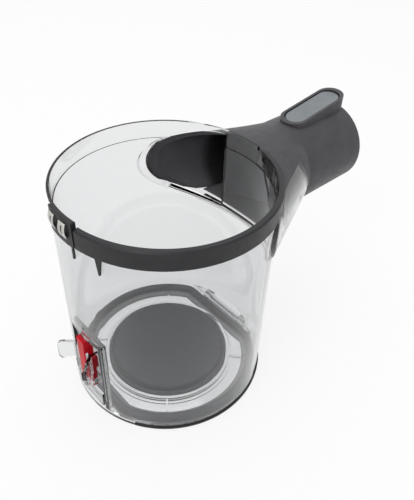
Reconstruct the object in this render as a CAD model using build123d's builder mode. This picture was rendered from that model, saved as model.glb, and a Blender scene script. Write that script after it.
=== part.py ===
"""Cyclone dust bin of a stick vacuum cleaner: clear cup, wand inlet and hinged base.

The origin is the centre of the base, +X runs along the wand socket and +Z is up.
"""
import math
import os

from build123d import *

os.makedirs("parts", exist_ok=True)

# Fits
seat_gap = 0.15         # between fixed pieces with curved faces
run_gap = 0.4           # beside pieces that move
lid_gap = 0.3           # between the closed lid and the cup
pin_gap = 0.05          # round a pin that something turns on

# Cup
bin_r = 54.0            # inside radius of the dust space
wall = 2.0              # thickness of the clear wall
rim_z = 130.0           # height of the rim
seat_step = 0.6         # how much wider the seat of the cyclone is than the dust space
bin_out_r = bin_r + wall
seat_r = bin_r + seat_step

# Wand tube and flared inlet
inlet_drop = 26.0       # how far the tube's axis lies below the rim
tube_r = 24.8           # outside radius of the wand tube
tube_wall = 2.4         # its wall
tube_l = 46.6           # its length
lead_in = 0.8           # bevel at its mouth
neck_out = 30.0         # how far beyond the dust space the flare meets the tube
flare_in = 33.0         # how far inside the dust space's radius the flare runs out along the cup
flare_trim = 0.5        # how much its half width there is less than the cup's radius
flare_half_h = 26.8     # half height of the flare there
cheek_wall = 2.2        # thickness of its sides
roof_wall = 1.6         # thickness of its roof and floor
squareness = 3.2        # exponent of its oval, 2 is an ellipse
oval_points = 36
skin_in = 0.9           # how far its inside lies beyond the oval mouth
skin_out = 2.6          # how far its outside lies beyond the oval mouth
bore_r = tube_r - tube_wall
inlet_z = rim_z - inlet_drop
neck_x = bin_r + neck_out
tube_end = neck_x + tube_l
flare_x = bin_r - flare_in
flare_half_w = bin_r - flare_trim

# Parting of the dark roof from the clear cheek
parting_drop = 10.0     # how far the foot of the dark roof and the collar lies below the rim
parting_in = 10.4       # how far before the neck the clear cheek starts to slope
neck_drop = 7.4         # how far below the tube's axis that slope meets the neck
far_drop = 18.0         # how far below the tube's axis the far dark cheek ends
parting_z = rim_z - parting_drop
parting_x = neck_x - parting_in
neck_parting_z = inlet_z - neck_drop
far_parting_z = inlet_z - far_drop

# Oval mouth in the cup's wall
eye_angle = 66.0        # half angle of the oval
eye_half_h = 24.6       # half height of the oval
eye_points = 24
eye_edge = 14.0         # angle of the upright edge where the mouth opens
bead_land = 0.4         # flat left between the mouth and its raised border
bead_angle = 1.4        # width of the raised border along the wall, in degrees
bead_w = 1.2            # width of the raised border up and down
bead_t = 0.6            # how far the border stands in
bead_stop = 0.5         # how far below the seat the border ends
deflector_t = 2.2       # thickness of the dark wall that turns the air
deflector_foot = 14.0   # how far below the tube's axis it ends
deflector_bow = 8.5     # how far it stands off the dust space in front of the tube
deflector_out = 12.5    # how far off its near end lies
deflector_near = 22.0   # how far to the near side it ends
deflector_mid = (bin_r + deflector_bow, 0)
deflector_end = (bin_r + deflector_out, -deflector_near)

# Cable channel, collar and contact block round the near half of the rim
channel_wall = 0.9      # wall left behind the channel
channel_end = 350.0     # angles round the cup, counter-clockwise from +X
collar_proud = 1.6      # how far the collar stands out from the cup
collar_t = 0.8          # its skirt
collar_top = 1.5        # its top flange
collar_foot = 1.2       # its foot flange
collar_bevel = 0.8
collar_start = 188.4
collar_end = 345.7
block_start = 169.3
block_end = 188.0
block_proud = 2.0       # how far the contact block stands out from the cup
block_set = 0.7         # how far it keeps back from the cyclone's seat
block_h = 3.4           # height of the contact block over the rim
block_round = 0.7
clip_t = 0.5            # sheet of the contact clips
clip_half = 2.1         # degrees of rim that a clip covers to each side
clip_angles = (174.0, 182.6)
clip_drop = 5.0         # how far a clip reaches below the rim
wire_r = 0.55
wire_rises = (3.2, 6.2) # heights of the leads over the foot of the channel
wire_entry = 2.0        # degrees that a wire runs into its holes
prong_angle = 185.4     # thin prong under the contact block
prong_half = 0.5
prong_drop = 7.8
wedge_angle = 200.5     # tapered tongue under the collar
wedge_half = 1.8
wedge_tip = 0.4
wedge_drop = 9.8
tongue_t = 0.9          # thickness of the prong and the wedge
collar_r = bin_out_r + collar_proud
block_r = bin_out_r + block_proud
clip_foot = rim_z - clip_drop
wire_heights = [parting_z + rise for rise in wire_rises]

# Button housing on the tube, placed from the neck and from the tube's top
housing_out = 2.0       # inner end of the housing
housing_l = 46.7
housing_w = 16.4
housing_rise = 1.1      # height of its inner end over the tube
housing_slope = 8.0     # degrees that its top rises outwards
overhang_wall = 0.7     # tube wall that its overhanging end leaves open
well_l = 41.4           # well that the button lies in
well_w = 13.3
well_skin = 1.0         # tube wall left under the well
button_l = 40.0
button_w = 12.5
button_t = 2.0
button_sunk = 0.5       # how far the button lies below the edge of the housing
button_dish = 45.0      # radius of the hollow along the button
button_round = 0.5
pivot_out = 20.0
pivot_rise = 2.0        # height of the pivot over the floor of the well
pivot_r = 0.8
boss_r = 1.7
boss_l = 9.0
pin_l = 15.6
nose_out = 7.0          # latch nose under the button
nose_l = 3.0
nose_w = 5.0
nose_clear = 0.1        # how far the nose keeps out of the socket
button_spring_out = 35.0
button_spring_r = 2.0
button_spring_wire = 0.25
button_spring_turns = 4
button_spring_slack = 0.45
terminal_out = 38.6
terminal_l = 5.0
terminal_w = 9.6
terminal_h = 3.2
terminal_half_pitch = 2.6
terminal_rise = 1.9
terminal_r = 0.8
terminal_sink = 1.4     # how far the pins start inside their block
terminal_pin_l = 8.0
housing_x = neck_x + housing_out
housing_low = inlet_z + tube_r + housing_rise
overhang_r = tube_r - overhang_wall
well_floor = inlet_z + bore_r + well_skin
pivot_x = neck_x + pivot_out
pivot_z = well_floor + pivot_rise
nose_x = neck_x + nose_out
nose_foot = inlet_z + bore_r + nose_clear
button_spring_x = neck_x + button_spring_out
terminal_x = neck_x + terminal_out
terminal_z = well_floor + terminal_rise
terminal_pin_x = terminal_x + terminal_sink

# Seal in the wand socket
groove_out = 2.0        # from the neck
groove_w = 2.0
groove_d = 1.0
groove_x = neck_x + groove_out

# Lid
lid_proud = 0.2         # how far the lid stands out from the cup
lid_t = 2.0
seal_lip = 0.7          # lip of the seal under the cup's wall
wall_z = lid_t + seal_lip + lid_gap
seal_gap = 0.4          # between the seal and the cup's wall
seal_w = 4.6
seal_top = 5.5
seal_corner = 5.0
seal_round = 0.9
disc_in = 17.6          # from the edge of the disc to the cup's wall
disc_edge = 1.0         # upright edge of the disc
disc_shoulder = 3.2     # width of its rounded shoulder
disc_rise = 4.6
disc_dish = 0.5
ring_gap = 0.6          # between the disc and the ring on the lid
ring_t = 1.6
ring_h = 3.0
outer_ring_in = 13.4
outer_ring_t = 1.0
outer_ring_h = 1.0
rib_angles = (50.0, 130.0, 230.0, 310.0)
rib_t = 1.0
rib_h = 2.5
rib_in = 5.5            # where the ribs end, from the cup's wall
lid_r = bin_out_r + lid_proud
disc_r = bin_r - disc_in
outer_ring_r = bin_r - outer_ring_in
rib_end = bin_r - rib_in

# Hinge at the foot of the cup, under the inlet
hinge_in = 8.1          # flat wall across the dust space, from the cup's wall
step_wall = 1.5
step_z = 8.0            # top of the hinge step
pin_in = 3.4            # hinge pin, from the inside of the cup's wall
hinge_z = 2.9
hinge_r = 1.0
knuckle_r = 2.4
knuckle_l = 26.0
ear_w = 5.0
hinge_notch_w = 37.4
web_in = 1.9            # how far the knuckle's web reaches under the lid's middle
web_foot = 0.5
hinge_wall_x = bin_r - hinge_in
hinge_x = bin_r - pin_in
web_x = hinge_wall_x - web_in

# Latch tongue and red catch opposite the hinge
latch_in = 3.8          # flat inner wall of the pocket, from the cup's wall
latch_wall = 2.0
pocket_w = 24.0
pocket_side = 1.6
pocket_top = 54.0
pocket_roof = 1.8
rail_foot = 22.0        # rails that the catch slides between
rail_top = 46.0
rail_proud = 2.0        # how far the rails stand out from the cup
rail_in = 6.2
rail_t = 1.4
lip_t = 1.2
lip_in = 4.0
catch_w = 5.8
catch_head_w = 6.4
catch_head_h = 5.4
catch_proud = 2.2       # how far the catch stands out from the cup
catch_foot = 21.5
catch_round = 0.6
lug_w = 11.6
lug_foot = 34.0
lug_top = 42.0
spring_groove_w = 3.2
spring_groove_d = 3.0
spring_groove_foot = 24.0
spring_groove_top = 44.0
spring_in = 2.0         # spring's axis, from the back of the pocket
spring_r = 1.05
spring_wire = 0.2
spring_turns = 9
peg_w = 2.4
peg_l = 2.8
peg_foot = 25.0
peg_top = 27.0
latch_space = 0.8       # between the latch tongue and the back of the pocket
latch_t = 1.4
latch_w = 18.0
latch_top = 12.0
snap_h = 1.2
snap_reach = 0.4
snap_z = 9.0
latch_wall_x = latch_in - bin_r
pocket_back = latch_wall_x - latch_wall
rail_front = -bin_out_r - rail_proud
catch_front = -bin_out_r - catch_proud
lug_front = rail_front + lip_t + run_gap
spring_x = pocket_back - spring_in
peg_front = pocket_back - peg_l
latch_x = pocket_back - latch_space - latch_t

# Runner wings
wing_sink = 0.6         # how far a wing's root lies inside the rail
wing_run = (-8.0, 7.0)
wing_l = 9.4
wing_t = 1.8
wing_foot = 32.5
wing_h = 13.5
wing_round = 3.0
wing_root = (rail_front + wing_sink, rail_in + rail_t - wing_sink)


def inlet_plane(x):
    """Plane across the wand tube at x, its own X to the far side and its own Y up."""
    return Plane(origin=(x, 0, inlet_z), x_dir=(0, 1, 0), z_dir=(1, 0, 0))


def upright_plane(angle):
    """Plane through the cup's axis, its own X outwards at the angle and its own Y up."""
    turn = math.radians(angle)
    return Plane(origin=(0, 0, 0), x_dir=(math.cos(turn), math.sin(turn), 0),
                 z_dir=(math.sin(turn), -math.cos(turn), 0))


def wall_plane(radius, angle):
    """Plane against the cup at an angle, its own Y up and its normal outwards."""
    turn = math.radians(angle)
    outward = (math.cos(turn), math.sin(turn), 0)
    return Plane(origin=(radius * outward[0], radius * outward[1], 0),
                 x_dir=(-outward[1], outward[0], 0), z_dir=outward)


def power(value, exponent):
    """Power of a number that keeps its sign."""
    return math.copysign(abs(value) ** exponent, value)


def eye(half_angle, half_h):
    """Prism along X whose outline is an ellipse wrapped on the inside of the cup."""
    outline = []
    for step in range(eye_points):
        turn = 2 * math.pi * step / eye_points
        angle = math.radians(half_angle * math.cos(turn))
        outline.append((bin_r * math.sin(angle), half_h * math.sin(turn)))
    with BuildPart() as prism:
        with BuildSketch(inlet_plane(0)):
            with BuildLine():
                Spline(*outline, periodic=True)
            make_face()
        extrude(amount=neck_x + wall)
    return prism.part


def flare(half_w, half_h, neck_r, skin):
    """Funnel from a squarish oval at the cup to the round neck, that tapers off along the oval mouth."""
    oval = []
    for step in range(oval_points):
        turn = 2 * math.pi * step / oval_points
        y = half_w * power(math.cos(turn), 2 / squareness)
        z = half_h * power(math.sin(turn), 2 / squareness)
        oval.append((y, z))
    with BuildPart() as funnel:
        with BuildSketch(inlet_plane(flare_x)):
            with BuildLine():
                Spline(*oval, periodic=True)
            make_face()
        with BuildSketch(inlet_plane(neck_x)):
            Circle(neck_r)
        loft(ruled=True)
        add(eye(eye_angle + skin, eye_half_h + skin), mode=Mode.INTERSECT)
    return funnel.part


def turned(profile, start, end):
    """Profile in radius and height, turned round the cup from one angle to another."""
    with BuildPart() as ring:
        with BuildSketch(upright_plane(start)):
            with BuildLine():
                Polyline(*profile, close=True)
            make_face()
        revolve(axis=Axis.Z, revolution_arc=end - start)
    return ring.part


def sector(r_in, r_out, low, high, start, end):
    """Ring sector of rectangular section."""
    return turned([(r_in, low), (r_out, low), (r_out, high), (r_in, high)], start, end)


def bent_rod(height, radius, start, end):
    """Round rod in the cable channel."""
    with BuildPart() as rod:
        with BuildSketch(upright_plane(start)):
            with Locations((wire_run_r, height)):
                Circle(radius)
        revolve(axis=Axis.Z, revolution_arc=end - start)
    return rod.part


def coil(x, low, high, radius, wire, turns):
    """Compression spring that stands on low and reaches high."""
    rise = high - low - 2 * wire
    with BuildPart() as spring:
        with BuildLine() as run:
            Helix(pitch=rise / turns, height=rise, radius=radius, center=(x, 0, low + wire))
        with BuildSketch(run.line ^ 0):
            Circle(wire)
        sweep(is_frenet=True)
    return spring.part


def segment(radius, edge_x):
    """Part of a disc beyond a straight edge, on the side that the edge lies on."""
    side = Align.MIN if edge_x > 0 else Align.MAX
    with BuildSketch() as piece:
        Circle(radius)
        with Locations((edge_x, 0)):
            Rectangle(2 * radius, 2 * radius, align=(side, Align.CENTER), mode=Mode.INTERSECT)
    return piece.sketch


def seal_face(radius, inset, corner):
    """Disc with a flat towards the hinge and one towards the latch."""
    left = latch_wall_x + inset
    right = hinge_wall_x - inset
    with BuildSketch() as piece:
        Circle(radius)
        with Locations((left, 0)):
            Rectangle(right - left, 2 * radius, align=(Align.MIN, Align.CENTER), mode=Mode.INTERSECT)
        fillet(piece.vertices(), corner)
    return piece.sketch


# Inlet shell, before it is parted into the clear cheek and the dark duct
outer_flare = flare(flare_half_w, flare_half_h, tube_r, skin_out)
inner_flare = flare(flare_half_w - cheek_wall, flare_half_h - roof_wall, bore_r, skin_in)
middle_flare = flare(flare_half_w - cheek_wall / 2, flare_half_h - roof_wall / 2, bore_r + tube_wall / 2,
                     (skin_in + skin_out) / 2)
below_inlet = inlet_z - 2 * tube_r

with BuildPart() as inlet_shell:
    add(outer_flare)
    with BuildSketch(inlet_plane(neck_x)):
        Circle(tube_r)
    extrude(amount=tube_end - neck_x)
    add(inner_flare, mode=Mode.SUBTRACT)
    with BuildSketch(inlet_plane(neck_x)):
        Circle(bore_r)
    extrude(amount=tube_end - neck_x, mode=Mode.SUBTRACT)

with BuildPart() as clear_zone:
    with BuildSketch(Plane.XZ):
        Polygon((0, below_inlet), (neck_x, below_inlet), (neck_x, neck_parting_z),
                (parting_x, parting_z), (0, parting_z), align=None)
    extrude(amount=bin_out_r + wall)
    with BuildSketch(Plane.XZ):
        Polygon((0, below_inlet), (neck_x, below_inlet), (neck_x, far_parting_z),
                (0, far_parting_z), align=None)
    extrude(amount=-bin_out_r - wall)

with BuildPart() as clear_cheek:
    add(inlet_shell.part)
    add(clear_zone.part, mode=Mode.INTERSECT)

# Cutting shapes and linings of the cup
channel_r = seat_r + channel_wall
wire_run_r = (channel_r + collar_r - collar_t) / 2
collar_seat_z = rim_z - collar_top
channel_cut = sector(channel_r, bin_out_r + wall, parting_z, rim_z + wall, block_start, channel_end)
rim_cut = sector(bin_r, bin_out_r + wall, collar_seat_z, rim_z + wall, block_start, channel_end)
mouth_side = bin_r * math.sin(math.radians(eye_edge))

with BuildPart() as mouth:
    add(eye(eye_angle, eye_half_h))
    with BuildSketch():
        Circle(bin_out_r + seat_gap)
        with Locations((0, mouth_side)):
            Rectangle(2 * bin_out_r, bin_out_r, align=(Align.MIN, Align.MIN), mode=Mode.INTERSECT)
    extrude(amount=rim_z + wall, mode=Mode.INTERSECT)

with BuildPart() as bead:
    add(eye(eye_angle + bead_land + bead_angle, eye_half_h + bead_land + bead_w))
    add(eye(eye_angle + bead_land, eye_half_h + bead_land), mode=Mode.SUBTRACT)
    with BuildSketch():
        Circle(bin_r + wall / 2)
        Circle(bin_r - bead_t, mode=Mode.SUBTRACT)
    extrude(amount=parting_z - bead_stop, mode=Mode.INTERSECT)

deflector_y = mouth_side - deflector_t / 2
deflector_start = (math.sqrt((bin_r + wall / 2) ** 2 - deflector_y ** 2), deflector_y)
deflector_z = inlet_z - deflector_foot
with BuildPart() as deflector:
    with BuildSketch(Plane.XY.offset(deflector_z)):
        with BuildLine():
            ThreePointArc(deflector_start, deflector_mid, deflector_end)
        trace(line_width=deflector_t)
    extrude(amount=rim_z - deflector_z)
    add(middle_flare, mode=Mode.INTERSECT)

# Clear cup
step_roof = step_z - step_wall

with BuildPart() as bin_body:
    with BuildSketch(Plane.XY.offset(wall_z)):
        Circle(bin_out_r)
    extrude(amount=rim_z - wall_z)
    add(clear_cheek.part)
    with BuildSketch(Plane.XY.offset(wall_z)):
        Circle(bin_r)
    extrude(amount=rim_z - wall_z, mode=Mode.SUBTRACT)
    with BuildSketch(Plane.XY.offset(parting_z)):
        Circle(seat_r)
    extrude(amount=rim_z - parting_z, mode=Mode.SUBTRACT)
    add(channel_cut, mode=Mode.SUBTRACT)
    add(rim_cut, mode=Mode.SUBTRACT)
    add(mouth.part, mode=Mode.SUBTRACT)
    add(bead.part)
    # Hinge step: a flat wall and a roof over the hinge, with two ears for the pin
    with BuildSketch(Plane.XY.offset(wall_z)):
        add(segment(bin_r + wall / 2, hinge_wall_x))
    extrude(amount=step_z - wall_z)
    with BuildSketch(Plane.XY.offset(wall_z)):
        add(segment(bin_r, hinge_wall_x + step_wall))
        with Locations((hinge_wall_x + step_wall, 0)):
            Rectangle(bin_r, hinge_notch_w, align=(Align.MIN, Align.CENTER))
    extrude(amount=step_roof - wall_z, mode=Mode.SUBTRACT)
    for side in (-1, 1):
        ear_y = side * (knuckle_l / 2 + lid_gap + ear_w / 2)
        with BuildSketch(Plane.XZ.offset(-ear_y)):
            with Locations((hinge_x, hinge_z)):
                Circle(knuckle_r)
                Rectangle(2 * knuckle_r, step_z - step_wall / 2 - hinge_z, align=(Align.CENTER, Align.MIN))
                Circle(hinge_r, mode=Mode.SUBTRACT)
        extrude(amount=ear_w / 2, both=True)
    # Pocket of the red catch, sunk into the foot of the wall
    with BuildSketch(Plane.XY.offset(wall_z)):
        add(segment(bin_r + wall / 2, latch_wall_x))
        Rectangle(2 * bin_r, pocket_w + 2 * pocket_side, mode=Mode.INTERSECT)
    extrude(amount=pocket_top + pocket_roof - wall_z)
    with BuildSketch(Plane.XY.offset(wall_z)):
        with Locations((pocket_back, 0)):
            Rectangle(bin_r, pocket_w, align=(Align.MAX, Align.CENTER))
    extrude(amount=pocket_top - wall_z, mode=Mode.SUBTRACT)
    for side in (-1, 1):
        with BuildSketch(Plane.XY.offset(rail_foot)):
            Polygon((pocket_back + latch_wall / 2, side * rail_in),
                    (pocket_back + latch_wall / 2, side * (rail_in + rail_t)),
                    (rail_front, side * (rail_in + rail_t)), (rail_front, side * lip_in),
                    (rail_front + lip_t, side * lip_in), (rail_front + lip_t, side * rail_in), align=None)
        extrude(amount=rail_top - rail_foot)
        # Wing that flares from the rail to guide the runner
        wing_plane = Plane(origin=(wing_root[0], side * wing_root[1], wing_foot),
                           x_dir=(wing_run[0], side * wing_run[1], 0),
                           z_dir=(side * wing_run[1], -wing_run[0], 0))
        with BuildSketch(wing_plane) as wing:
            Rectangle(wing_l, wing_h, align=(Align.MIN, Align.MIN))
            outer = wing.vertices().group_by(Axis.X)[-1]
            fillet(outer, wing_round)
        extrude(amount=wing_t / 2, both=True)
    with BuildSketch(Plane.XY.offset(peg_foot)):
        with Locations((peg_front, 0)):
            Rectangle(pocket_back - peg_front + latch_wall / 2, peg_w, align=(Align.MIN, Align.CENTER))
    extrude(amount=peg_top - peg_foot)
bin_body.part.label = "bin_body"
export_step(bin_body.part, "parts/bin_body.step")

# Dark wand tube with the roof of the inlet and the button housing
slope = math.radians(housing_slope)
housing_mid = housing_x + housing_l / 2
top_plane = Plane(origin=(housing_mid, 0, housing_low + housing_l / 2 * math.tan(slope)),
                  x_dir=(math.cos(slope), 0, math.sin(slope)),
                  z_dir=(-math.sin(slope), 0, math.cos(slope)))
collar_room = sector(bin_r, collar_r + seat_gap, parting_z - seat_gap, rim_z + wall, block_start, collar_end)
wire_stop = sector(channel_r + seat_gap, collar_r + wall, parting_z + seat_gap, collar_seat_z - seat_gap,
                   collar_end + seat_gap, channel_end - seat_gap)
wire_holes = [bent_rod(height, wire_r + pin_gap, block_end - wire_entry - seat_gap,
                       collar_end + wire_entry + 2 * seat_gap) for height in wire_heights]

with BuildPart() as inlet_duct:
    add(inlet_shell.part)
    add(clear_zone.part, mode=Mode.SUBTRACT)
    add(deflector.part)
    with BuildSketch(Plane.XY.offset(inlet_z + bore_r / 2)):
        with Locations((housing_mid, 0)):
            SlotOverall(housing_l, housing_w)
    extrude(amount=tube_r)
    with BuildSketch(top_plane):
        Rectangle(housing_l + wall, 2 * housing_w)
    extrude(amount=tube_r, mode=Mode.SUBTRACT)
    with BuildSketch(inlet_plane(neck_x)):
        Circle(bore_r)
    extrude(amount=tube_end - neck_x, mode=Mode.SUBTRACT)
    with BuildSketch(inlet_plane(tube_end)):
        Circle(overhang_r)
    extrude(amount=housing_w, mode=Mode.SUBTRACT)
    mouth_edges = inlet_duct.edges().filter_by(GeomType.CIRCLE).filter_by(
        lambda edge: abs(edge.radius - bore_r) < pin_gap and abs(edge.center().X - tube_end) < pin_gap)
    chamfer(mouth_edges, lead_in)
    with BuildSketch(Plane.XY.offset(well_floor)):
        with Locations((housing_mid, 0)):
            SlotOverall(well_l, well_w)
    extrude(amount=tube_r, mode=Mode.SUBTRACT)
    with BuildSketch(Plane.XY.offset(inlet_z)):
        with Locations((nose_x + nose_l / 2, 0)):
            Rectangle(nose_l + 2 * run_gap, nose_w + 2 * run_gap)
    extrude(amount=tube_r, mode=Mode.SUBTRACT)
    with BuildSketch(Plane.XZ):
        with Locations((pivot_x, pivot_z)):
            Circle(pivot_r)
    extrude(amount=pin_l / 2, both=True, mode=Mode.SUBTRACT)
    with BuildSketch(Plane.YZ.offset(terminal_pin_x)):
        with Locations((-terminal_half_pitch, terminal_z), (terminal_half_pitch, terminal_z)):
            Circle(terminal_r + pin_gap)
    extrude(amount=housing_w, mode=Mode.SUBTRACT)
    with BuildSketch(inlet_plane(groove_x)):
        Circle(bore_r + groove_d)
    extrude(amount=groove_w, mode=Mode.SUBTRACT)
    with BuildSketch():
        Circle(bin_out_r + seat_gap)
    extrude(amount=2 * rim_z, mode=Mode.SUBTRACT)
    add(collar_room, mode=Mode.SUBTRACT)
    add(wire_stop)
    add(wire_holes, mode=Mode.SUBTRACT)
inlet_duct.part.label = "inlet_duct"
export_step(inlet_duct.part, "parts/inlet_duct.step")

# Collar over the cable channel, with the tongue below it
with BuildPart() as cable_cover:
    add(turned([(seat_r, collar_seat_z), (seat_r, rim_z), (collar_r - collar_bevel, rim_z),
                (collar_r, rim_z - collar_bevel), (collar_r, parting_z),
                (channel_r + seat_gap, parting_z), (channel_r + seat_gap, parting_z + collar_foot),
                (collar_r - collar_t, parting_z + collar_foot), (collar_r - collar_t, collar_seat_z)],
               collar_start, collar_end))
    with BuildSketch(wall_plane(bin_out_r + seat_gap, wedge_angle)):
        Polygon((-wedge_half, parting_z + collar_foot), (wedge_half, parting_z + collar_foot),
                (wedge_tip, parting_z - wedge_drop), (-wedge_tip, parting_z - wedge_drop), align=None)
    extrude(amount=tongue_t)
cable_cover.part.label = "cable_cover"
export_step(cable_cover.part, "parts/cable_cover.step")

# Contact block and its clips
block_top = rim_z + block_h
block_in = seat_r + block_set
with BuildPart() as contact_block:
    add(turned([(block_in, collar_seat_z), (block_in, block_top), (block_r, block_top), (block_r, parting_z),
                (channel_r + seat_gap, parting_z), (channel_r + seat_gap, collar_seat_z)],
               block_start + seat_gap, block_end))
    fillet(contact_block.edges().group_by(Axis.Z)[-1], block_round)
    with BuildSketch(wall_plane(bin_out_r + seat_gap, prong_angle)):
        with Locations((0, parting_z + collar_foot)):
            Rectangle(2 * prong_half, prong_drop + collar_foot, align=(Align.CENTER, Align.MAX))
    extrude(amount=tongue_t)
    add(wire_holes, mode=Mode.SUBTRACT)
contact_block.part.label = "contact_block"
export_step(contact_block.part, "parts/contact_block.step")

clips = [turned([(block_in, block_top), (block_r, block_top), (block_r, clip_foot), (block_r + clip_t, clip_foot),
                 (block_r + clip_t, block_top + clip_t), (block_in, block_top + clip_t)],
                angle - clip_half, angle + clip_half) for angle in clip_angles]
with BuildPart() as contact_clips:
    add(clips)
contact_clips.part.label = "contact_clips"
export_step(contact_clips.part, "parts/contact_clips.step")

# Leads in the channel
for name, height in zip(("lower_wire", "upper_wire"), wire_heights):
    wire = bent_rod(height, wire_r, block_end - wire_entry, collar_end + wire_entry)
    wire.label = name
    export_step(wire, f"parts/{name}.step")

# Rocking button that frees the wand
with BuildPart() as release_button:
    with BuildSketch(top_plane.offset(-button_sunk)):
        SlotOverall(button_l, button_w)
    extrude(amount=-button_t)
    fillet(release_button.faces().sort_by(Axis.Z)[-1].edges(), button_round)
    with BuildSketch(Plane(origin=top_plane.origin, x_dir=(0, 1, 0), z_dir=top_plane.x_dir)):
        with Locations((0, button_dish - 2 * button_sunk)):
            Circle(button_dish)
    extrude(amount=button_l, both=True, mode=Mode.SUBTRACT)
    with BuildSketch(Plane.XZ):
        with Locations((pivot_x, pivot_z)):
            Circle(boss_r)
    extrude(amount=boss_l / 2, both=True)
    with BuildSketch(Plane.XY.offset(nose_foot)):
        with Locations((nose_x, 0)):
            Rectangle(nose_l, nose_w, align=(Align.MIN, Align.CENTER))
    extrude(amount=housing_low - button_t / 2 - nose_foot)
    with BuildSketch(Plane.XZ):
        with Locations((pivot_x, pivot_z)):
            Circle(pivot_r + pin_gap)
    extrude(amount=boss_l, both=True, mode=Mode.SUBTRACT)
release_button.part.label = "release_button"
export_step(release_button.part, "parts/release_button.step")

with BuildPart() as button_pin:
    with BuildSketch(Plane.XZ):
        with Locations((pivot_x, pivot_z)):
            Circle(pivot_r)
    extrude(amount=pin_l / 2, both=True)
button_pin.part.label = "button_pin"
export_step(button_pin.part, "parts/button_pin.step")

button_under = (housing_low + (button_spring_x - housing_x) * math.tan(slope)
                - (button_sunk + button_t) / math.cos(slope))
button_spring = coil(button_spring_x, well_floor, button_under - button_spring_slack, button_spring_r,
                     button_spring_wire, button_spring_turns)
button_spring.label = "button_spring"
export_step(button_spring, "parts/button_spring.step")

# Contacts for the wand, under the outer end of the button
with BuildPart() as terminal_block:
    with BuildSketch(Plane.XY.offset(well_floor)):
        with Locations((terminal_x, 0)):
            Rectangle(terminal_l, terminal_w, align=(Align.MIN, Align.CENTER))
    extrude(amount=terminal_h)
    with BuildSketch(Plane.YZ.offset(terminal_pin_x)):
        with Locations((-terminal_half_pitch, terminal_z), (terminal_half_pitch, terminal_z)):
            Circle(terminal_r)
    extrude(amount=housing_w, mode=Mode.SUBTRACT)
terminal_block.part.label = "terminal_block"
export_step(terminal_block.part, "parts/terminal_block.step")

with BuildPart() as terminal_pins:
    with BuildSketch(Plane.YZ.offset(terminal_pin_x)):
        with Locations((-terminal_half_pitch, terminal_z), (terminal_half_pitch, terminal_z)):
            Circle(terminal_r)
    extrude(amount=terminal_pin_l)
terminal_pins.part.label = "terminal_pins"
export_step(terminal_pins.part, "parts/terminal_pins.step")

# Seal ring in the wand socket
with BuildPart() as wand_seal:
    with BuildSketch(inlet_plane(groove_x)):
        Circle(bore_r + groove_d)
        Circle(bore_r + pin_gap, mode=Mode.SUBTRACT)
    extrude(amount=groove_w)
wand_seal.part.label = "wand_seal"
export_step(wand_seal.part, "parts/wand_seal.step")

# Clear hinged lid
with BuildPart() as base_lid:
    with BuildSketch():
        Circle(lid_r)
        add(segment(2 * lid_r, hinge_wall_x + step_wall), mode=Mode.SUBTRACT)
    extrude(amount=lid_t)
    with BuildSketch(Plane.XY.offset(lid_t)):
        Circle(disc_r + ring_gap + ring_t)
        Circle(disc_r + ring_gap, mode=Mode.SUBTRACT)
    extrude(amount=ring_h)
    with BuildSketch(Plane.XY.offset(lid_t)):
        Circle(outer_ring_r)
        Circle(outer_ring_r - outer_ring_t, mode=Mode.SUBTRACT)
    extrude(amount=outer_ring_h)
    rib_start = disc_r + ring_gap + ring_t / 2
    with BuildSketch(Plane.XY.offset(lid_t)):
        for angle in rib_angles:
            with Locations(Location((0, 0), angle)):
                with Locations((rib_start, 0)):
                    Rectangle(rib_end - rib_start, rib_t, align=(Align.MIN, Align.CENTER))
    extrude(amount=rib_h)
    with BuildSketch(Plane.XZ):
        with Locations((web_x, web_foot)):
            Rectangle(hinge_x - web_x, lid_t - web_foot, align=(Align.MIN, Align.MIN))
        with Locations((hinge_x, hinge_z)):
            Circle(knuckle_r)
            Circle(hinge_r + pin_gap, mode=Mode.SUBTRACT)
    extrude(amount=knuckle_l / 2, both=True)
    with BuildSketch(Plane.XZ):
        Polygon((latch_x, lid_t / 2), (latch_x + latch_t, lid_t / 2), (latch_x + latch_t, snap_z),
                (latch_x + latch_t + snap_reach, snap_z + snap_h / 2), (latch_x + latch_t, snap_z + snap_h),
                (latch_x + latch_t, latch_top), (latch_x, latch_top), align=None)
    extrude(amount=latch_w / 2, both=True)
base_lid.part.label = "base_lid"
export_step(base_lid.part, "parts/base_lid.step")

# Rubber seal on the lid
with BuildPart() as lid_seal:
    with BuildSketch(Plane.XY.offset(lid_t)):
        add(seal_face(bin_r - seal_gap, seal_gap, seal_corner))
    extrude(amount=seal_top - lid_t)
    fillet(lid_seal.edges().group_by(Axis.Z)[-1], seal_round)
    with BuildSketch(Plane.XY.offset(lid_t)):
        Circle(bin_out_r)
        add(segment(2 * lid_r, hinge_wall_x + step_wall), mode=Mode.SUBTRACT)
        add(segment(2 * lid_r, pocket_back), mode=Mode.SUBTRACT)
    extrude(amount=seal_lip)
    with BuildSketch(Plane.XY.offset(lid_t)):
        add(seal_face(bin_r - seal_gap - seal_w, seal_gap + seal_w, seal_corner))
    extrude(amount=seal_top, mode=Mode.SUBTRACT)
lid_seal.part.label = "lid_seal"
export_step(lid_seal.part, "parts/lid_seal.step")

# Disc that closes the foot of the cyclone
with BuildPart() as cone_seal:
    with BuildSketch(Plane.XZ):
        with BuildLine():
            Line((0, lid_t), (disc_r, lid_t))
            Line((disc_r, lid_t), (disc_r, lid_t + disc_edge))
            shoulder = (disc_r - disc_shoulder, lid_t + disc_rise)
            TangentArc((disc_r, lid_t + disc_edge), shoulder, tangent=(0, 1))
            Line(shoulder, (0, lid_t + disc_rise - disc_dish))
            Line((0, lid_t + disc_rise - disc_dish), (0, lid_t))
        make_face()
    revolve(axis=Axis.Z)
cone_seal.part.label = "cone_seal"
export_step(cone_seal.part, "parts/cone_seal.step")

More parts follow.
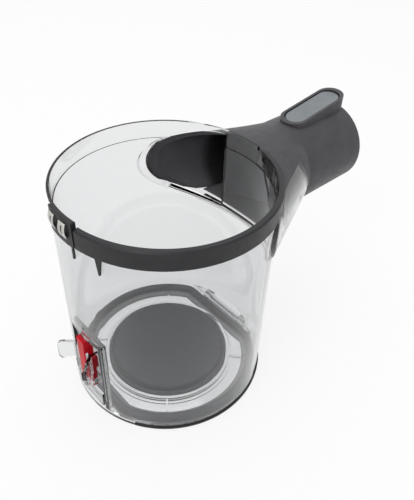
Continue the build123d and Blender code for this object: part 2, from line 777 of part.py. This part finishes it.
with BuildPart() as hinge_pin:
    with BuildSketch(Plane.XZ):
        with Locations((hinge_x, hinge_z)):
            Circle(hinge_r)
    extrude(amount=knuckle_l / 2 + lid_gap + ear_w, both=True)
hinge_pin.part.label = "hinge_pin"
export_step(hinge_pin.part, "parts/hinge_pin.step")

# Red sliding catch
catch_back = pocket_back - run_gap
catch_top = pocket_top - lid_gap
with BuildPart() as release_catch:
    with BuildSketch(Plane.XY.offset(catch_foot)):
        with Locations((catch_back, 0)):
            Rectangle(catch_back - catch_front, catch_w, align=(Align.MAX, Align.CENTER))
    extrude(amount=catch_top - catch_foot)
    with BuildSketch(Plane.XY.offset(catch_top - catch_head_h)):
        with Locations((catch_back, 0)):
            Rectangle(catch_back - catch_front, catch_head_w, align=(Align.MAX, Align.CENTER))
    extrude(amount=catch_head_h)
    fillet(release_catch.faces().sort_by(Axis.X)[0].edges(), catch_round)
    with BuildSketch(Plane.XY.offset(lug_foot)):
        with Locations((catch_back, 0)):
            Rectangle(catch_back - lug_front, lug_w, align=(Align.MAX, Align.CENTER))
    extrude(amount=lug_top - lug_foot)
    with BuildSketch(Plane.XY.offset(spring_groove_foot)):
        with Locations((catch_back, 0)):
            Rectangle(spring_groove_d, spring_groove_w, align=(Align.MAX, Align.CENTER))
    extrude(amount=spring_groove_top - spring_groove_foot, mode=Mode.SUBTRACT)
release_catch.part.label = "release_catch"
export_step(release_catch.part, "parts/release_catch.step")

catch_spring = coil(spring_x, peg_top, spring_groove_top, spring_r, spring_wire, spring_turns)
catch_spring.label = "catch_spring"
export_step(catch_spring, "parts/catch_spring.step")
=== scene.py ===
"""Looks, light and camera for the cyclone dust bin."""
import math

import bmesh
import bpy
from mathutils import Matrix, Vector


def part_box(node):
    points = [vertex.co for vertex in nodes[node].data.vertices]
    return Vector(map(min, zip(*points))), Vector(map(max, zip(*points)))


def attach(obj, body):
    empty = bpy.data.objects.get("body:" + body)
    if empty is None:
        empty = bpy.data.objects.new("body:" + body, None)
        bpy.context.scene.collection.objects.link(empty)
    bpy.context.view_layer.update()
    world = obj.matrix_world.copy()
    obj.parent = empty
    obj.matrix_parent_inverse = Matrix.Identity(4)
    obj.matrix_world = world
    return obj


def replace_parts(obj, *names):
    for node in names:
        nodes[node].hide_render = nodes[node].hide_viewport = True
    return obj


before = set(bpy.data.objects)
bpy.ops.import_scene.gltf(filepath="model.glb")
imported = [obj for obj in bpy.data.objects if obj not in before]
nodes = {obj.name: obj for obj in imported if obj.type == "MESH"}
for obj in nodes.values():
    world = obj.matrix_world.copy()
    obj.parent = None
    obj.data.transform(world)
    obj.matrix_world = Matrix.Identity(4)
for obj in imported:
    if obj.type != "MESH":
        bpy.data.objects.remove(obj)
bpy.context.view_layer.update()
MM = 0.001

# Camera fitted to the photograph, in metres
CAMERA_AT = Vector((-0.1419, -0.1774, 0.2772))
CAMERA_RIGHT = Vector((0.7182, -0.6958, 0.0))
CAMERA_UP = Vector((0.4520, 0.4666, 0.7603))
CAMERA_ROLL = 0.049
CAMERA_LENS = 40.145
SENSOR = 36.0

# Light and floor
WORLD_LEVEL = 0.62          # strength of the world as a lamp
TOP_LIGHT = {"at": (0.1, 0.2, 1.3), "target": (0.0, 0.0, 0.0), "size": 1.2, "power": 6.5}
KEY_LIGHT = {"at": (-0.9, -0.3, 0.9), "target": (0.0, 0.0, 0.06), "size": 0.6, "power": 3.0}
FLOOR_SIZE = 30.0
FLOOR_DROP = 0.2 * MM       # how far the floor lies below the base
FLOOR_COLOUR = (0.93, 0.93, 0.93)
FLOOR_PALER = 0.01          # how much lighter its pale spots are
FLOOR_ROUGH = 0.9
FLOOR_WHITE = 0.82          # share of plain white that the floor shows where it is looked at

# Scale of the noise in a surface
MOTTLE_SCALE = 90.0         # in its colour
GLOSS_SCALE = 260.0         # in its roughness
CLOUD_SCALE = 60.0          # in a colour that fades with height
FLOW_SCALE = 26.0           # in the relief of the clear plastic
PAPER_SCALE = 3.0           # in the floor's colour

# Fine grain: scale of its noise and depth
MOULDED_GRAIN = (1400.0, 0.04 * MM)
TRIM_GRAIN = (900.0, 0.03 * MM)
METAL_GRAIN = (900.0, 0.02 * MM)
RUBBER_GRAIN = (700.0, 0.03 * MM)
DISC_GRAIN = (240.0, 0.02 * MM)
GRAIN_STRENGTH = 0.35

# Surfaces that fade with height
CLOUD = 0.06                # share of the fade that the cloud adds or takes
FADING_ROUGH = (0.45, 0.6)

# Clear plastic
CLEAR_COLOUR = (0.87, 0.875, 0.88, 1.0)
CLEAR_IOR = 1.45
CLEAR_TINT = (0.10, 0.12, 0.14, 1.0)
CLEAR_DENSITY = 26.0
FLOW_SQUASH = (1.0, 1.0, 0.35)
FLOW_STRENGTH = 0.05
FLOW_DEPTH = 0.4 * MM

# Cup, from the frame
cup_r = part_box("lid_seal")[1].y     # outside of the clear wall, which the seal's lip reaches

# Air's passage: painted shade, black from the throat of the inlet to some way past the wand's seal
socket_low, socket_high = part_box("wand_seal")
socket_z = (socket_low.z + socket_high.z) / 2
THROAT_X = 55.0 * MM
THROAT_FADE = 5.0 * MM
SOCKET_REACH = 20.0 * MM
SOCKET_FADE = 15.0 * MM
FACING = (-8.0 * MM, -5.0 * MM)     # offset from the axis along a face's normal: wholly black, not black
# Colour of the painted shade deep in the passage
PASSAGE_SHADE = (0.004, 0.004, 0.005, 1.0)
MIX_INPUTS = (0, 6, 7)              # a colour mix's factor and two colours
MIX_OUTPUT = 2

# Disc on the lid: inset from its edge and height over the lid, in millimetres
disc_low, disc_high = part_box("cone_seal")
DISC_PROFILE = [
    (0.0, 0.0), (0.0, 2.5), (0.25, 3.2), (0.9, 3.6), (1.7, 3.7), (2.4, 3.6), (2.7, 3.2), (2.8, 2.6),
    (3.0, 2.6), (3.05, 3.4), (3.1, 4.9), (3.4, 5.7), (4.0, 6.2), (5.0, 6.5), (6.5, 6.6), (12.0, 6.5),
    (20.0, 6.4), (30.0, 6.4), (36.0, 6.4),
]
DISC_STEPS = 128

# Rubber seal on the lid: inset from its outer face and height over the lid, in millimetres
seal_low, seal_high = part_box("lid_seal")
SEAL_PROFILE = [
    (0.0, 0.0), (0.0, 3.9), (0.3, 4.8), (1.0, 5.5), (2.0, 5.8), (3.0, 5.7), (3.9, 5.2), (4.5, 4.3),
    (4.7, 2.6), (5.0, 2.0), (5.6, 1.7), (7.0, 1.5), (7.4, 1.1), (7.4, 0.0),
]
SEAL_IN = 2.3 * MM          # outer face of the bead inside the lip, round the cup
SEAL_HINGE_IN = 1.9 * MM    # the same at the flat by the hinge
SEAL_LATCH_IN = 2.4 * MM    # the same at the flat by the latch
SEAL_CORNER = 9.0 * MM
SEAL_STEPS = 40
SEAL_CORNER_STEPS = 10
SEAL_FADE = (1.7 * MM, 3.0 * MM)    # heights over the lid between which it darkens

# Black lip of the seal: distance beyond the lid's edge and height over the floor, in millimetres
lid_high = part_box("base_lid")[1]
LIP_PROFILE = [
    (-0.1, 0.3), (0.35, 0.4), (0.55, 0.9), (0.55, 2.1), (0.3, 2.6), (-0.3, 2.8), (-0.3, 2.5), (-0.1, 2.2),
]
LIP_ARCS = {"far": (33.0, 148.0), "near": (212.0, 327.0)}
LIP_STEPS = 96

# Dark lining inside the near clear cheek, standing in for the dark duct and the shade seen through the
# cheek, with painted shade darker towards its top: its lower and upper edge, as x and height in
# millimetres
LINING_FOOT = [(36.0, 114.0), (42.0, 103.5), (50.0, 97.5), (66.0, 91.0), (83.5, 85.0)]
LINING_HEAD = [(36.0, 119.4), (73.0, 119.4), (83.5, 97.0)]
LINING_SHADE_HEIGHTS = (88.0 * MM, 112.0 * MM)       # heights between which it darkens
LINING_GAP = 0.7 * MM
LINING_T = 0.8 * MM
LINING_COLUMNS = 46
LINING_ROWS = 24
lining_start = LINING_FOOT[0][0]
lining_end = LINING_FOOT[-1][0]

# Bottom of the lining, with painted shade darker towards its top: its near and far edge, each at the wall
# and at the tube, in millimetres
BED_SIDES = [(-27.0, -16.0), (27.0, 16.0)]
BED_SHADE_HEIGHTS = (78.0 * MM, 98.0 * MM)           # heights between which it darkens
BED_IN = 1.2 * MM           # its edge outside the wall
BED_FROM = 98.0 * MM        # a height in the open passage

# Contact leaves on the block
BLOCK_R = 58.0 * MM         # outside of the block
LEAF_ANGLES = (174.0, 182.6)
LEAF_HALF = 2.3             # degrees
LEAF_FOOT = 123.8 * MM
LEAF_TOP = 131.8 * MM
LEAF_BULGE = 0.9 * MM
LEAF_T = 0.45 * MM
LEAF_COLUMNS = 8
LEAF_ROWS = 10
LEAF_SIDE = 3               # columns beside the opening
LEAF_END = 2                # rows above and below the opening

SHARP_EDGE = 50.0           # degrees between two faces from which their edge is sharp


def new_material(name):
    """Empty node material with its shader and output linked."""
    material = bpy.data.materials.new(name)
    material.use_nodes = True
    tree = material.node_tree
    shader = tree.nodes["Principled BSDF"]
    return material, tree, shader


def mapped(tree, place=(0.0, 0.0, 0.0), scale=(1.0, 1.0, 1.0)):
    """The object's own coordinates, scaled and moved."""
    where = tree.nodes.new("ShaderNodeTexCoord")
    mapping = tree.nodes.new("ShaderNodeMapping")
    mapping.inputs["Location"].default_value = place
    mapping.inputs["Scale"].default_value = scale
    tree.links.new(where.outputs["Object"], mapping.inputs["Vector"])
    return mapping.outputs["Vector"]


def coordinate(tree, axis):
    """One of the object's own coordinates."""
    apart = tree.nodes.new("ShaderNodeSeparateXYZ")
    tree.links.new(mapped(tree), apart.inputs["Vector"])
    return apart.outputs[axis]


def noise(tree, scale, detail=2.0, squash=(1.0, 1.0, 1.0)):
    """Noise in the object's own coordinates."""
    texture = tree.nodes.new("ShaderNodeTexNoise")
    texture.inputs["Scale"].default_value = scale
    texture.inputs["Detail"].default_value = detail
    tree.links.new(mapped(tree, scale=squash), texture.inputs["Vector"])
    return texture.outputs["Fac"]


def ramp(tree, source, low, high, start=0.35, end=0.65):
    """Colours between two values along a source."""
    colours = tree.nodes.new("ShaderNodeValToRGB")
    colours.color_ramp.elements[0].position = start
    colours.color_ramp.elements[0].color = (*low, 1.0)
    colours.color_ramp.elements[1].position = end
    colours.color_ramp.elements[1].color = (*high, 1.0)
    tree.links.new(source, colours.inputs["Fac"])
    return colours.outputs["Color"]


def spread(tree, source, low, high, start=0.3, end=0.7):
    """Numbers between two values along a source."""
    span = tree.nodes.new("ShaderNodeMapRange")
    span.inputs["From Min"].default_value = start
    span.inputs["From Max"].default_value = end
    span.inputs["To Min"].default_value = low
    span.inputs["To Max"].default_value = high
    tree.links.new(source, span.inputs["Value"])
    return span.outputs["Result"]


def combine(tree, operation, first, *others):
    """Numbers joined one after another by a sum, a product or the like."""
    for other in others:
        node = tree.nodes.new("ShaderNodeMath")
        node.operation = operation
        tree.links.new(first, node.inputs[0])
        tree.links.new(other, node.inputs[1])
        first = node.outputs["Value"]
    return first


def relief(tree, shader, source, strength, depth):
    """Fine relief from a noise."""
    bump = tree.nodes.new("ShaderNodeBump")
    bump.inputs["Strength"].default_value = strength
    bump.inputs["Distance"].default_value = depth
    tree.links.new(source, bump.inputs["Height"])
    tree.links.new(bump.outputs["Normal"], shader.inputs["Normal"])


def solid_material(name, low, high, rough, grain, metallic=0.0, specular=0.5):
    """Moulded or metal surface with mottled colour, uneven gloss and a fine grain."""
    material, tree, shader = new_material(name)
    grain_scale, grain_depth = grain
    colours = ramp(tree, noise(tree, MOTTLE_SCALE, detail=3.0), low, high)
    tree.links.new(colours, shader.inputs["Base Color"])
    tree.links.new(spread(tree, noise(tree, GLOSS_SCALE), *rough), shader.inputs["Roughness"])
    relief(tree, shader, noise(tree, grain_scale), GRAIN_STRENGTH, grain_depth)
    shader.inputs["Metallic"].default_value = metallic
    shader.inputs["Specular IOR Level"].default_value = specular
    return material


def paint_passage_shade(material, axis_z, start, end):
    """Painted shade: black on the faces that look into the air's passage, between two places along it."""
    tree = material.node_tree
    shader = tree.nodes["Principled BSDF"]
    plain = shader.inputs["Base Color"].links[0].from_socket
    where = tree.nodes.new("ShaderNodeTexCoord")
    facing = tree.nodes.new("ShaderNodeVectorMath")
    facing.operation = "DOT_PRODUCT"
    tree.links.new(where.outputs["Normal"], facing.inputs[0])
    tree.links.new(mapped(tree, place=(0.0, 0.0, -axis_z), scale=(0.0, 1.0, 1.0)), facing.inputs[1])
    inward = spread(tree, facing.outputs["Value"], 1.0, 0.0, *FACING)
    along = coordinate(tree, "X")
    begun = spread(tree, along, 0.0, 1.0, start, start + THROAT_FADE)
    lasting = spread(tree, along, 1.0, 0.0, end - SOCKET_FADE, end)
    shade = tree.nodes.new("ShaderNodeMix")
    shade.data_type = "RGBA"
    factor, bare, shaded = (shade.inputs[place] for place in MIX_INPUTS)
    tree.links.new(combine(tree, "MULTIPLY", inward, begun, lasting), factor)
    tree.links.new(plain, bare)
    shaded.default_value = PASSAGE_SHADE
    tree.links.new(shade.outputs[MIX_OUTPUT], shader.inputs["Base Color"])


def fading_material(name, low, high, foot, top):
    """Moulded surface that goes from one grey at foot to another at top, with a soft cloud in it."""
    material, tree, shader = new_material(name)
    height = spread(tree, coordinate(tree, "Z"), 0.0, 1.0, foot, top)
    cloud = spread(tree, noise(tree, CLOUD_SCALE, detail=3.0), -CLOUD, CLOUD)
    colours = ramp(tree, combine(tree, "ADD", height, cloud), low, high, 0.0, 1.0)
    tree.links.new(colours, shader.inputs["Base Color"])
    tree.links.new(spread(tree, noise(tree, GLOSS_SCALE), *FADING_ROUGH), shader.inputs["Roughness"])
    return material


def clear_material(name):
    """Clear moulded plastic that greys along its thickness, with faint flow marks."""
    material, tree, shader = new_material(name)
    shader.inputs["Base Color"].default_value = CLEAR_COLOUR
    shader.inputs["Transmission Weight"].default_value = 1.0
    shader.inputs["IOR"].default_value = CLEAR_IOR
    shader.inputs["Roughness"].default_value = 0.0
    relief(tree, shader, noise(tree, FLOW_SCALE, squash=FLOW_SQUASH), FLOW_STRENGTH, FLOW_DEPTH)
    inside = tree.nodes.new("ShaderNodeVolumeAbsorption")
    inside.inputs["Color"].default_value = CLEAR_TINT
    inside.inputs["Density"].default_value = CLEAR_DENSITY
    tree.links.new(inside.outputs["Volume"], tree.nodes["Material Output"].inputs["Volume"])
    return material


def looked_at(tree):
    """One for rays from the camera, from a gloss and through a clear piece, else nothing."""
    rays = tree.nodes.new("ShaderNodeLightPath").outputs
    kinds = ("Is Camera Ray", "Is Glossy Ray", "Is Transmission Ray")
    return combine(tree, "MAXIMUM", *(rays[kind] for kind in kinds))


def add_piece(name, points, faces, body, slot, look):
    """Mesh that moves with a body, smooth but for its sharp edges."""
    mesh = bpy.data.meshes.new(name)
    mesh.from_pydata(points, [], faces)
    shape = bmesh.new()
    shape.from_mesh(mesh)
    bmesh.ops.recalc_face_normals(shape, faces=shape.faces)
    shape.to_mesh(mesh)
    shape.free()
    mesh.shade_smooth()
    mesh.set_sharp_from_angle(angle=math.radians(SHARP_EDGE))
    mesh.materials.append(look)
    piece = bpy.data.objects.new(name, mesh)
    bpy.context.scene.collection.objects.link(piece)
    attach(piece, body)
    return piece


def thicken(piece, thickness):
    """Sheet of a thickness, to both sides of the piece's faces."""
    sheet = piece.modifiers.new("thickness", "SOLIDIFY")
    sheet.thickness = thickness
    sheet.offset = 0.0


def skin(rings, ring_closed=True, loop_closed=False, capped=False):
    """Points and faces of a skin over rings of equally many points, its two ends closed if capped."""
    count = len(rings[0])
    points = [point for ring in rings for point in ring]
    faces = []
    for row in range(len(rings) if loop_closed else len(rings) - 1):
        low = row * count
        high = (row + 1) % len(rings) * count
        for step in range(count if ring_closed else count - 1):
            after = (step + 1) % count
            faces.append((low + step, low + after, high + after, high + step))
    if capped:
        faces.append(tuple(range(count)))
        faces.append(tuple(range(len(points) - count, len(points))))
    return points, faces


def round_the_cup(radius, angle, height):
    """Point at a radius, an angle in degrees and a height."""
    turn = math.radians(angle)
    return radius * math.cos(turn), radius * math.sin(turn), height


def arc(centre, radius, start, end, steps):
    """Points along an arc, from one angle to another."""
    points = []
    for step in range(steps + 1):
        turn = start + (end - start) * step / steps
        points.append((centre[0] + radius * math.cos(turn), centre[1] + radius * math.sin(turn)))
    return points


def seal_outline(inset):
    """Outline of the seal at an inset: a circle with rounded flats by the hinge and the latch."""
    radius = seal_high.y - SEAL_IN - inset
    corner = max(SEAL_CORNER - inset, MM)
    hinge = seal_high.x - SEAL_HINGE_IN - inset
    latch = -seal_low.x - SEAL_LATCH_IN - inset
    turns = []
    for flat in (hinge, latch):
        side = math.sqrt((radius - corner) ** 2 - (flat - corner) ** 2)
        turns.append((flat - corner, side, math.atan2(side, flat - corner)))
    (hinge_x, hinge_y, hinge_turn), (latch_x, latch_y, latch_turn) = turns
    upper = arc((hinge_x, hinge_y), corner, 0.0, hinge_turn, SEAL_CORNER_STEPS)
    upper += arc((0.0, 0.0), radius, hinge_turn, math.pi - latch_turn, SEAL_STEPS)[1:-1]
    upper += arc((-latch_x, latch_y), corner, math.pi - latch_turn, math.pi, SEAL_CORNER_STEPS)
    lower = [(x, -y) for x, y in reversed(upper)]
    return upper + lower


def height_along(edge, x):
    """Height of one of the lining's edges at x, both in millimetres."""
    for (x0, z0), (x1, z1) in zip(edge, edge[1:]):
        if x <= x1:
            return z0 + (z1 - z0) * (x - x0) / (x1 - x0)
    return edge[-1][1]


def onto_the_cup(start, way):
    """Spot just short of the clear moulding, along a way from a start, or the start if nothing is met."""
    start, way = Vector(start), Vector(way)
    struck, spot, _, _ = nodes["bin_body"].ray_cast(start, way)
    return spot - way * LINING_GAP if struck else start


def softbox(name, at, target, size, power):
    """Square studio light aimed at a point."""
    data = bpy.data.lights.new(name, "AREA")
    data.shape = "SQUARE"
    data.size = size
    data.energy = power
    lamp = bpy.data.objects.new(name, data)
    lamp.location = at
    lamp.rotation_euler = (Vector(target) - Vector(at)).to_track_quat("-Z", "Y").to_euler()
    bpy.context.scene.collection.objects.link(lamp)


# Looks: two colours to mottle between, the range of roughness and the grain
tube = solid_material("tube_plastic", (0.047, 0.046, 0.051), (0.059, 0.058, 0.064), (0.40, 0.52),
                      MOULDED_GRAIN, specular=0.33)
# Painted shade: black inside the air's passage of the tube
paint_passage_shade(tube, socket_z, THROAT_X, socket_low.x + SOCKET_REACH)
# Lining: a dark sheet whose colour fades to painted shade towards its top
lining_shade_look = fading_material("lining_painted_shade", (0.05, 0.051, 0.053), (0.02, 0.02, 0.022), *LINING_SHADE_HEIGHTS)
# Bed: a dark sheet whose colour fades to painted shade towards its top
bed_shade_look = fading_material("bed_painted_shade", (0.10, 0.102, 0.107), (0.06, 0.06, 0.064), *BED_SHADE_HEIGHTS)
bead = fading_material("bead_rubber", (0.24, 0.245, 0.25), (0.036, 0.038, 0.044),
                       *(seal_low.z + height for height in SEAL_FADE))
collar = solid_material("collar_plastic", (0.012, 0.0125, 0.0145), (0.017, 0.0175, 0.0195), (0.38, 0.50),
                        MOULDED_GRAIN, specular=0.35)
button = solid_material("button_plastic", (0.16, 0.178, 0.192), (0.19, 0.208, 0.222), (0.34, 0.46),
                        MOULDED_GRAIN)
red = solid_material("red_plastic", (0.50, 0.001, 0.008), (0.60, 0.002, 0.014), (0.36, 0.48),
                     TRIM_GRAIN, specular=0.25)
seal = solid_material("seal_rubber", (0.034, 0.036, 0.042), (0.048, 0.050, 0.057), (0.42, 0.56),
                      RUBBER_GRAIN)
lip = solid_material("lip_rubber", (0.004, 0.004, 0.005), (0.007, 0.007, 0.008), (0.35, 0.5),
                     RUBBER_GRAIN, specular=0.3)
disc = solid_material("disc_rubber", (0.022, 0.026, 0.034), (0.030, 0.034, 0.043), (0.44, 0.58),
                      DISC_GRAIN, specular=0.3)
plated = solid_material("plated_contact", (0.50, 0.49, 0.46), (0.60, 0.59, 0.56), (0.16, 0.30),
                        METAL_GRAIN, metallic=1.0)
sleeve = solid_material("lead_sleeve", (0.02, 0.02, 0.022), (0.03, 0.03, 0.032), (0.4, 0.55),
                        TRIM_GRAIN)
steel = solid_material("bright_steel", (0.50, 0.50, 0.50), (0.60, 0.60, 0.60), (0.22, 0.36),
                       METAL_GRAIN, metallic=1.0)
clear = clear_material("clear_plastic")

looks = {
    "bin_body": clear,
    "base_lid": clear,
    "inlet_duct": tube,
    "cable_cover": collar,
    "contact_block": collar,
    "terminal_block": collar,
    "release_button": button,
    "release_catch": red,
    "lid_seal": seal,
    "wand_seal": seal,
    "cone_seal": disc,
    "contact_clips": plated,
    "terminal_pins": plated,
    "lower_wire": sleeve,
    "upper_wire": sleeve,
    "hinge_pin": steel,
    "button_pin": steel,
    "button_spring": steel,
    "catch_spring": steel,
}
for name, look in looks.items():
    nodes[name].data.materials.clear()
    nodes[name].data.materials.append(look)

# Disc, seal and black lip on the lid
disc_rings = []
for inset, height in DISC_PROFILE:
    radius = disc_high.x - inset * MM
    disc_rings.append([round_the_cup(radius, 360.0 * step / DISC_STEPS, disc_low.z + height * MM)
                       for step in range(DISC_STEPS)])
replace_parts(add_piece("disc_pad", *skin(disc_rings, capped=True), "lid", "disc", disc), "cone_seal")

seal_rings = [[(x, y, seal_low.z + height * MM) for x, y in seal_outline(inset * MM)]
              for inset, height in SEAL_PROFILE]
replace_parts(add_piece("seal_bead", *skin(seal_rings, loop_closed=True), "lid", "seal", bead), "lid_seal")

for side, (start, end) in LIP_ARCS.items():
    lip_rings = []
    for step in range(LIP_STEPS + 1):
        angle = start + (end - start) * step / LIP_STEPS
        lip_rings.append([round_the_cup(lid_high.y + out * MM, angle, height * MM)
                          for out, height in LIP_PROFILE])
    add_piece(f"seal_lip_{side}", *skin(lip_rings, capped=True), "lid", "seal", lip)

# Dark lining with painted shade, laid against the inside of the clear cheek, standing in for the dark duct
# and the shade seen through it
bpy.context.view_layer.update()
lining_rings = []
for column in range(LINING_COLUMNS + 1):
    x = lining_start + (lining_end - lining_start) * column / LINING_COLUMNS
    foot = height_along(LINING_FOOT, x)
    head = height_along(LINING_HEAD, x)
    start_y = -math.sqrt(max((cup_r + LINING_T) ** 2 - (x * MM) ** 2, 0.0))
    ring = []
    for row in range(LINING_ROWS + 1):
        z = (foot + (head - foot) * row / LINING_ROWS) * MM
        ring.append((x * MM, onto_the_cup((x * MM, start_y, z), (0.0, -1.0, 0.0)).y, z))
    lining_rings.append(ring)
thicken(add_piece("inlet_shade_lining", *skin(lining_rings, ring_closed=False), "bin", "dark", lining_shade_look), LINING_T)

# The same dark sheet with painted shade on the bottom of the inlet, from the clear wall to the tube
bed_rings = []
for column in range(LINING_COLUMNS + 1):
    share = column / LINING_COLUMNS
    near, far = (wall + (neck - wall) * share for wall, neck in BED_SIDES)
    ring = []
    for row in range(LINING_ROWS + 1):
        y = (near + (far - near) * row / LINING_ROWS) * MM
        start_x = math.sqrt((cup_r + BED_IN) ** 2 - y ** 2)
        x = start_x + (lining_end * MM - start_x) * share
        ring.append((x, y, onto_the_cup((x, y, BED_FROM), (0.0, 0.0, -1.0)).z))
    bed_rings.append(ring)
thicken(add_piece("inlet_shade_bed", *skin(bed_rings, ring_closed=False), "bin", "dark", bed_shade_look), LINING_T)

# Bright leaves of the contacts, open in the middle
for number, angle in enumerate(LEAF_ANGLES, 1):
    leaf_rings = []
    for row in range(LEAF_ROWS + 1):
        share = row / LEAF_ROWS
        radius = BLOCK_R + LEAF_T + LEAF_BULGE * math.sin(math.pi * share)
        height = LEAF_FOOT + (LEAF_TOP - LEAF_FOOT) * share
        leaf_rings.append([round_the_cup(radius, angle + LEAF_HALF * (2 * step / LEAF_COLUMNS - 1), height)
                           for step in range(LEAF_COLUMNS + 1)])
    leaf_points, leaf_faces = skin(leaf_rings, ring_closed=False)
    rim_faces = []
    for index, face in enumerate(leaf_faces):
        row, step = divmod(index, LEAF_COLUMNS)
        in_rows = LEAF_END <= row < LEAF_ROWS - LEAF_END
        in_columns = LEAF_SIDE <= step < LEAF_COLUMNS - LEAF_SIDE
        if not (in_rows and in_columns):
            rim_faces.append(face)
    leaf = add_piece(f"contact_leaf_{number}", leaf_points, rim_faces, "bin", "contact", plated)
    thicken(leaf, LEAF_T)
    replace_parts(leaf, "contact_clips")

# Floor, nearly white where it is looked at
bpy.ops.mesh.primitive_plane_add(size=FLOOR_SIZE, location=(0.0, 0.0, -FLOOR_DROP))
floor = bpy.context.object
floor.name = "studio_floor"
floor_look, floor_tree, floor_shader = new_material("studio_floor")
floor_shader.inputs["Roughness"].default_value = FLOOR_ROUGH
floor_shader.inputs["Specular IOR Level"].default_value = 0.0
pale_spots = tuple(channel + FLOOR_PALER for channel in FLOOR_COLOUR)
paper = ramp(floor_tree, noise(floor_tree, PAPER_SCALE), FLOOR_COLOUR, pale_spots)
floor_tree.links.new(paper, floor_shader.inputs["Base Color"])
white = floor_tree.nodes.new("ShaderNodeEmission")
blend = floor_tree.nodes.new("ShaderNodeMixShader")
white_share = spread(floor_tree, looked_at(floor_tree), 0.0, FLOOR_WHITE, 0.0, 1.0)
floor_tree.links.new(white_share, blend.inputs["Fac"])
floor_tree.links.new(floor_shader.outputs["BSDF"], blend.inputs[1])
floor_tree.links.new(white.outputs["Emission"], blend.inputs[2])
floor_tree.links.new(blend.outputs["Shader"], floor_tree.nodes["Material Output"].inputs["Surface"])
floor.data.materials.append(floor_look)

# World, white where it is looked at
world = bpy.data.worlds.new("studio")
bpy.context.scene.world = world
world.use_nodes = True
world_tree = world.node_tree
sky = world_tree.nodes["Background"]
sky.inputs["Color"].default_value = (1.0, 1.0, 1.0, 1.0)
sky_level = spread(world_tree, looked_at(world_tree), WORLD_LEVEL, 1.0, 0.0, 1.0)
world_tree.links.new(sky_level, sky.inputs["Strength"])

softbox("top_light", **TOP_LIGHT)
softbox("key_light", **KEY_LIGHT)

# Camera
right = CAMERA_RIGHT * math.cos(CAMERA_ROLL) + CAMERA_UP * math.sin(CAMERA_ROLL)
up = CAMERA_UP * math.cos(CAMERA_ROLL) - CAMERA_RIGHT * math.sin(CAMERA_ROLL)
back = right.cross(up)
turn = Matrix((right, up, back)).transposed().to_4x4()
lens = bpy.data.cameras.new("camera")
lens.lens = CAMERA_LENS
lens.sensor_width = SENSOR
camera = bpy.data.objects.new("camera", lens)
camera.matrix_world = Matrix.Translation(CAMERA_AT) @ turn
bpy.context.scene.collection.objects.link(camera)
bpy.context.scene.camera = camera
bpy.context.scene.view_settings.view_transform = "Standard"
